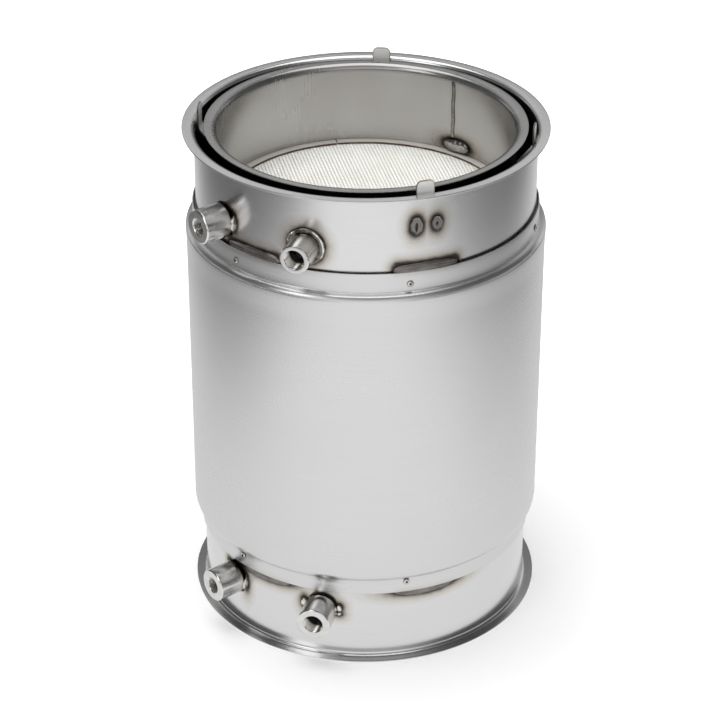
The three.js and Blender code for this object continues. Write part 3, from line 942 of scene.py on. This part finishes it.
def build_boss_weld(name, end, angle, middle, half_width, least, lumps):
    """The uneven bead round a boss, lying on the collar's curved wall."""
    waves = [(k, random.uniform(0.02, 0.05), random.uniform(0, 2 * math.pi)) for k in (3, 5, 8, 13)]
    stations = 240
    sections = 16
    crest_at, crest_width = (0.62, 0.22) if least > RING_WELD else (0.2, 0.85)
    rows = []
    oxide_and_highlight = []
    for i in range(stations):
        turn = 2 * math.pi * i / stations
        direction = math.degrees(turn)
        swell = sum(size * lump(direction, centre, width) for centre, size, width in lumps)
        uneven = sum(size * math.sin(k * turn + phase) for k, size, phase in waves)
        size = least + swell + uneven
        half = half_width * min(1.15, 0.6 + 0.5 * size)
        tall = WELD_HEIGHT * (size - 0.1)
        row = []
        for k in range(sections + 1):
            lean = math.pi * k / sections
            row.append((middle + half * math.cos(lean), tall * math.sin(lean) ** 0.5))
            # painted highlight along the bead's crest
            crest = math.exp(-((math.cos(lean) - crest_at) / crest_width) ** 2)
            oxide_and_highlight.append(0.1 + 0.35 * min(1, size) + 0.5 * crest * min(1, max(0, size - 0.4) / 0.4))
        row += [(middle - half, -0.7 * SHEET), (middle + half, -0.7 * SHEET)]
        oxide_and_highlight += [0, 0]
        loop = []
        for reach, stands in row:
            across = reach * math.cos(turn)
            wall = math.sqrt(COLLAR_RADIUS ** 2 - across ** 2)
            loop.append((across, reach * math.sin(turn), wall + stands))
        rows.append(loop)
    mesh = patch(name, rows, True, ("oxide_and_highlight", oxide_and_highlight))
    add_bead(name, mesh, BOSS_WELD, radial_frame(angle, height_at(end, BOSS_DEPTH)))


# ---- welds

def on_wall(angle, radius, height):
    """A point at an angle in degrees, a radius and a height."""
    turn = math.radians(angle)
    return (radius * math.sin(turn), -radius * math.cos(turn), height)


def build_stitch_weld(end, index, angle):
    """A long bead that fills the corner between the collar and the edge of the shield's neck."""
    name = f"{end}_stitch_weld_{index + 1}"
    stations = 150
    away = 1 if end == INLET else -1
    edge = height_at(end, NECK_EDGE) - away * 0.6 * MM
    phase = random.uniform(0, 2 * math.pi)
    rows = []
    for i in range(stations + 1):
        share = 2 * i / stations - 1
        full = (1 - abs(share) ** STITCH_TAPER[end]) ** 0.5 if abs(share) < 1 else 0
        full = max(full, 0.06)
        uneven = 0.03 * math.sin(5 * share + phase) + 0.012 * math.sin(17 * share + 2 * phase)
        ripple = 0.008 * math.sin(share * 85)
        tall = STITCH_HEIGHT * full * (0.93 + uneven)
        stands = STITCH_STANDS * full * (1 + uneven + ripple)
        here = angle + share * STITCH_SPAN / 2
        section = [(-0.7 * SHEET, 1)]
        for k in range(9):
            lean = math.pi / 2 * k / 8
            section.append((stands * math.sin(lean) ** 0.7, 0.06 + 0.94 * math.cos(lean) ** 0.8))
        section += [(stands, 0), (-0.7 * SHEET, 0)]
        rows.append([on_wall(here, COLLAR_RADIUS + out, edge + away * tall * up) for out, up in section])
    add_bead(name, patch(name, rows, False), STITCH_WELD)


def build_plug_weld(name, angle, half_width, half_height, crater):
    """An oval plug weld: a low rim, a shallow floor and an off-centre crater."""
    rings = 26
    spokes = 64
    rows = []
    shares = []
    phase = random.uniform(0, 2 * math.pi)
    for i in range(rings + 1):
        share = i / rings
        row = []
        for k in range(spokes):
            turn = 2 * math.pi * k / spokes
            uneven = 1 + 0.04 * math.sin(3 * turn + phase) + 0.025 * math.sin(7 * turn)
            across = half_width * uneven * share * math.cos(turn)
            upward = half_height * uneven * share * math.sin(turn)
            to_crater = math.hypot(across - crater[0], (upward - crater[1]) / crater[2])
            rim = math.exp(-((share - 0.84) / 0.1) ** 2)
            pit = math.exp(-(to_crater / (0.2 * half_width)) ** 2)
            stands = 0.25 + 0.5 * rim - 0.6 * pit + 0.35 * math.cos(share * math.pi / 2)
            stands -= 1.3 * max(0, share - 0.93) / 0.07
            wall = math.sqrt((COLLAR_RADIUS / MM) ** 2 - across ** 2)
            row.append((across * MM, upward * MM, (wall + stands) * MM))
            in_pit = 0.45 * (1 - min(1, 1.6 * pit))
            shares.append(in_pit + max(0, share - 0.62) / 0.38 * 0.55)
        rows.append(row)
    rows.append([(x, y, z - 0.5 * MM) for x, y, z in rows[-1]])
    shares += [1.0] * spokes
    mesh = patch(name, rows, False, ("rim_share", shares))
    add_bead(name, mesh, PLUG_WELD, radial_frame(angle, TOP - PLUG_DEPTH))


def build_liner_bead(name, loops):
    """A bead on the liner's bore. A loop runs over it in (angle, how far it stands, height,
    oxide_and_highlight), which gives dark oxide at its toes and a painted highlight on its crest.
    """
    rows = []
    oxide_and_highlight = []
    for loop in loops:
        row = [on_wall(angle, LINER_BORE - stands, height) for angle, stands, height, _ in loop]
        for angle, _, height, _ in (loop[-1], loop[0]):
            row.append(on_wall(angle, LINER_BORE + 0.5 * SHEET, height))
        oxide_and_highlight += [point[3] for point in loop] + [0, 0]
        rows.append(row)
    add_bead(name, patch(name, rows, False, ("oxide_and_highlight", oxide_and_highlight)), SEAM_WELD)


def build_seam_weld():
    """The narrow rolled seam up the inlet liner, inside the bore."""
    stations = 160
    low = TOP - LINER_DEPTH + 2 * TACK_HALF_HEIGHT
    high = TOP - LINER_BEND
    half = math.degrees(SEAM_WIDTH / 2 / LINER_BORE)
    loops = []
    for i in range(stations + 1):
        share = i / stations
        height = low + (high - low) * share
        taper = min(1, 12 * share + 0.15, 12 * (1 - share) + 0.15)
        stands = SEAM_STANDS * taper * (0.8 + 0.1 * math.sin(share * 170) + 0.1 * math.sin(share * 21))
        centre = SEAM_ANGLE + 0.12 * math.sin(share * 14)
        loop = []
        for k in range(8):
            lean = math.pi * k / 7
            # painted highlight along the seam's middle
            oxide_and_highlight = 0.9 * max(0, math.sin(lean) - 0.25)
            loop.append((centre + half * math.cos(lean), stands * math.sin(lean), height, oxide_and_highlight))
        loops.append(loop)
    build_liner_bead("inlet_liner_seam_weld", loops)


def build_tack_weld():
    """The oval tack at the foot of the seam, inside the bore."""
    stations = 60
    middle = TOP - LINER_DEPTH + TACK_HALF_HEIGHT
    loops = []
    for i in range(stations + 1):
        share = 2 * i / stations - 1
        full = max(math.sqrt(max(0, 1 - abs(share) ** 3)), 0.05)
        uneven = 1 + 0.12 * math.sin(5 * share + 1) + 0.06 * math.sin(17 * share)
        here = TACK_ANGLE + math.degrees(share * TACK_HALF_WIDTH / LINER_BORE)
        loop = []
        for k in range(13):
            lean = math.pi * k / 12
            stands = TACK_STANDS * full * uneven * math.sin(lean) ** 0.8
            # painted highlight over the tack's top
            oxide_and_highlight = 0.75 * min(1, 1.6 * full * math.sin(lean) - 0.35)
            loop.append((here, stands, middle + TACK_HALF_HEIGHT * full * math.cos(lean), oxide_and_highlight))
        loops.append(loop)
    build_liner_bead("inlet_liner_tack_weld", loops)


# ---- rivets and clips

def build_rivet(end, index, angle):
    """A blind rivet: a domed head with the mandrel's hole, and its shank."""
    name = f"{end}_rivet_{index + 1}"
    seat = NECK_RADIUS + 0.05 * MM
    shank = RIVET_HEAD / 2
    outline = [
        (0, COLLAR_RADIUS + 0.6 * MM),
        (shank, COLLAR_RADIUS + 0.6 * MM),
        (shank, seat),
        (RIVET_HEAD, seat),
        (RIVET_HEAD, seat + 0.35 * MM),
        (RIVET_HEAD * 0.8, seat + RIVET_DOME * 0.8),
        (RIVET_HEAD * 0.55, seat + RIVET_DOME),
        (RIVET_HOLE, seat + RIVET_DOME),
        (RIVET_HOLE * 0.8, seat + RIVET_DOME * 0.4),
        (0, seat + RIVET_DOME * 0.3),
    ]
    mesh = revolve(name, outline, 40)
    # painted shade: the rim of the head and the mandrel's hole are near black
    away = np.hypot(*mesh_points(mesh)[:, :2].T)
    dark = (away > RIVET_HEAD * 0.93) | (away < RIVET_HOLE * 1.01)
    store_gap(mesh, [np.where(dark, 0.8 * MM, TINT_REACH)])
    place = radial_frame(angle, height_at(end, RIVET_DEPTH))
    add_piece(f"{name}_head", mesh, RIVET_STEEL, [name], place)


def build_clip(end, index, angle):
    """A bent spring clip: a tongue with rounded corners and a leg that presses on the liner."""
    name = f"{end}_clip_{index + 1}"
    depth_top = TOP - CLIP_TOP[end]
    middle = CLIP_RADIUS - CLIP_SHEET / 2
    foot = LINER_BORE + SHEET + 0.6 * MM + CLIP_SHEET / 2
    bend = Vector((middle, CLIP_BEND_DEPTH - 3 * MM))
    knee = Vector((middle, CLIP_BEND_DEPTH))
    slope = Vector((foot - middle, CLIP_FOOT_DEPTH - CLIP_BEND_DEPTH)).normalized()
    corner = CLIP_CORNER
    line = [(middle, depth_top + corner * (1 - math.cos(math.pi / 2 * k / 8))) for k in range(9)]
    line += curve(bend, knee, knee + slope * 3 * MM, 5)
    line.append((foot, CLIP_FOOT_DEPTH))
    columns = len(CLIP_PLACES) - 1
    gaps = []
    vertices = []
    for side in (1, -1):
        for i, point in enumerate(line):
            before = Vector(line[max(i - 1, 0)])
            after = Vector(line[min(i + 1, len(line) - 1)])
            along = (after - before).normalized()
            normal = Vector((along.y, -along.x))
            spot = Vector(point) + normal * side * CLIP_SHEET / 2
            inset = corner - min(point[1] - depth_top, corner)
            width = CLIP_WIDTH / 2 - corner + math.sqrt(max(0, corner ** 2 - inset ** 2))
            for place in CLIP_PLACES:
                vertices.append((width * place, height_at(end, spot.y), spot.x))
                # painted shade: a dark outline along the tongue's sides and top, through the tint ramp
                from_edge = min((1 - abs(place)) * width, max(point[1] - depth_top, 0))
                gaps.append(0.9 * MM + 6 * from_edge)
    rows = len(line)
    stride = columns + 1
    back = rows * stride
    faces = []
    for i in range(rows - 1):
        for k in range(columns):
            a = i * stride + k
            faces.append((a, a + 1, a + stride + 1, a + stride))
            faces.append((back + a, back + a + stride, back + a + stride + 1, back + a + 1))
    border = list(range(columns))
    border += [i * stride + columns for i in range(rows - 1)]
    border += [(rows - 1) * stride + columns - k for k in range(columns)]
    border += [(rows - 1 - i) * stride for i in range(rows - 1)]
    for a, b in zip(border, border[1:] + border[:1]):
        faces.append((a, back + a, back + b, b))
    mesh = clean_mesh(name, vertices, faces, ("tint_and_shade_gap", gaps))
    piece = add_piece(f"{name}_spring", mesh, CLIP_STEEL, [name], radial_frame(angle, 0))
    bevel = piece.modifiers.new("edge", "BEVEL")
    bevel.width = 0.35 * MM
    bevel.segments = 3
    bevel.limit_method = "ANGLE"
    bevel.angle_limit = math.radians(50)


# ---- hidden CAD pieces

def dress_cad_node(name, material):
    """Gives a CAD node that stays its own material."""
    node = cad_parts[name]
    node.data.materials.clear()
    node.data.materials.append(material)


# ---- the stage

def glowing(name):
    """Nodes of a material that only shines, white at strength 1 until something feeds it."""
    nodes = new_material(name)
    nodes.tree.nodes.remove(nodes.shader)
    nodes.shader = nodes.new("ShaderNodeEmission")
    nodes.shade("Color", (1, 1, 1))
    nodes.shade("Strength", 1)
    surface = nodes.tree.nodes["Material Output"].inputs["Surface"]
    nodes.feed(surface, nodes.shader.outputs["Emission"])
    return nodes


def plane(name, size, location, material):
    mesh = bpy.data.meshes.new(name)
    x, y = size[0] / 2, size[1] / 2
    mesh.from_pydata([(-x, -y, 0), (x, -y, 0), (x, y, 0), (-x, y, 0)], [], [(0, 1, 2, 3)])
    mesh.materials.append(material)
    obj = new_object(name, mesh)
    obj.location = location
    return obj


def card(name, size, location, material):
    """A sheet that nothing but reflections see."""
    sheet = plane(name, size, location, material)
    sheet.visible_camera = False
    sheet.visible_diffuse = False
    sheet.visible_shadow = False
    return sheet


def build_floor():
    """A plain pale floor that shines a little more away from the canister."""
    nodes = new_material("floor_white")
    length = nodes.new("ShaderNodeVectorMath", operation="LENGTH")
    nodes.feed(length.inputs[0], nodes.coordinates)
    lift = nodes.ranged(length.outputs["Value"], *FLOOR_LIFT, *FLOOR_LIFT_SPAN, "SMOOTHSTEP")
    nodes.shade("Specular IOR Level", 0)
    nodes.shade("Emission Color", (1, 1, 1))
    nodes.shade("Emission Strength", lift)
    plane("floor", FLOOR_SIZE, FLOOR_PLACE, nodes.finish((0.9, 0.9, 0.9), 1))


def build_floor_reflection():
    """The floor as reflections see it, which dims to the sides and behind the canister."""
    nodes = glowing("floor_reflection")
    levels = []
    for axis, stops in (("X", FLOOR_GLOW), ("Y", FLOOR_DEPTH_GLOW)):
        place = nodes.ranged(nodes.along(axis), 0, 1, -FLOOR_HALF_SPAN, FLOOR_HALF_SPAN)
        shares = [(0.5 + metres / (2 * FLOOR_HALF_SPAN), level) for metres, level in stops]
        levels.append(nodes.ramp(place, shares))
    nodes.shade("Color", nodes.mix(1.0, *levels, "MULTIPLY"))
    card("floor_reflection", FLOOR_CARD_SIZE, FLOOR_CARD_PLACE, nodes.owner)


def softbox(name, location, target, size, power):
    data = bpy.data.lights.new(name, "AREA")
    data.shape = "RECTANGLE"
    data.size, data.size_y = size
    data.energy = power
    light = new_object(name, data)
    light.location = location
    direction = Vector(target) - Vector(location)
    light.rotation_euler = direction.to_track_quat("-Z", "Y").to_euler()
    light.visible_camera = False
    return light


def build_surroundings():
    """A white room that is darker overhead and to the far left and right."""
    world = bpy.data.worlds.new("studio")
    bpy.context.scene.world = world
    nodes = Nodes(world, "Background", "Generated")
    aside = nodes.math("ABSOLUTE", nodes.along("X"))
    dim = nodes.ranged(aside, *SIDE_GLOW, *SIDE_SPAN, "SMOOTHSTEP")
    nodes.shade("Color", nodes.ramp(nodes.along("Z"), SKY_GLOW))
    nodes.shade("Strength", dim)


def build_lights():
    """Two soft lights, and the top one and the back as reflections see them."""
    top, _ = [softbox(*light) for light in SOFTBOXES]
    top.visible_glossy = False
    above = glowing("top_card")
    above.shade("Strength", TOP_CARD_GLOW)
    card("top_card", TOP_SIZE, TOP_CARD_PLACE, above.owner)
    back = glowing("back_card")
    aside = back.math("ABSOLUTE", back.along("X"))
    fade = back.ranged(aside, *BACK_CARD_GLOW, *BACK_CARD_SPAN, "SMOOTHSTEP")
    back.shade("Strength", fade)
    upright = card("back_card", BACK_CARD_SIZE, BACK_CARD_PLACE, back.owner)
    upright.rotation_euler.x = math.radians(90)


def build_camera():
    data = bpy.data.cameras.new("camera")
    data.sensor_width = 36
    data.lens = CAMERA_LENS
    data.shift_x, data.shift_y = CAMERA_SHIFT
    camera = new_object("camera", data)
    pitch = Matrix.Rotation(math.radians(CAMERA_PITCH), 4, "X")
    roll = Matrix.Rotation(CAMERA_ROLL, 4, "Z")
    camera.matrix_world = Matrix.Translation(CAMERA_PLACE) @ pitch @ roll
    bpy.context.scene.camera = camera


# ---- build

for end in ENDS:
    build_collar(end)
    build_liner(end)
    build_retainer(end)
    build_filter_face(end)
    for index, angle in enumerate(STITCH_ANGLES[end]):
        build_stitch_weld(end, index, angle)
    for index, angle in enumerate(RIVET_ANGLES):
        build_rivet(end, index, angle)
    for index, angle in enumerate(CLIP_ANGLES):
        build_clip(end, index, angle)
build_shield()
build_filter_body()
for name, end, angle, radius, bore, middle, half_width, least, lumps in BOSSES:
    build_boss(name, end, angle, radius * MM, bore * MM)
    build_boss_weld(f"{name}_weld", end, angle, middle * MM, half_width * MM, least, lumps)
for weld in PLUG_WELDS:
    build_plug_weld(*weld)
build_seam_weld()
build_tack_weld()

for end in ENDS:
    dress_cad_node(f"{end}_standoff_ring", DULL_STEEL)
    dress_cad_node(f"{end}_end_plate", DULL_STEEL)
dress_cad_node("filter_can", DULL_STEEL)
dress_cad_node("support_mat", MAT_FIBRE)
dress_cad_node("insulation_blanket", BLANKET_FIBRE)

build_floor()
build_floor_reflection()
build_surroundings()
build_lights()
build_camera()
bpy.context.scene.view_settings.view_transform = "Standard"
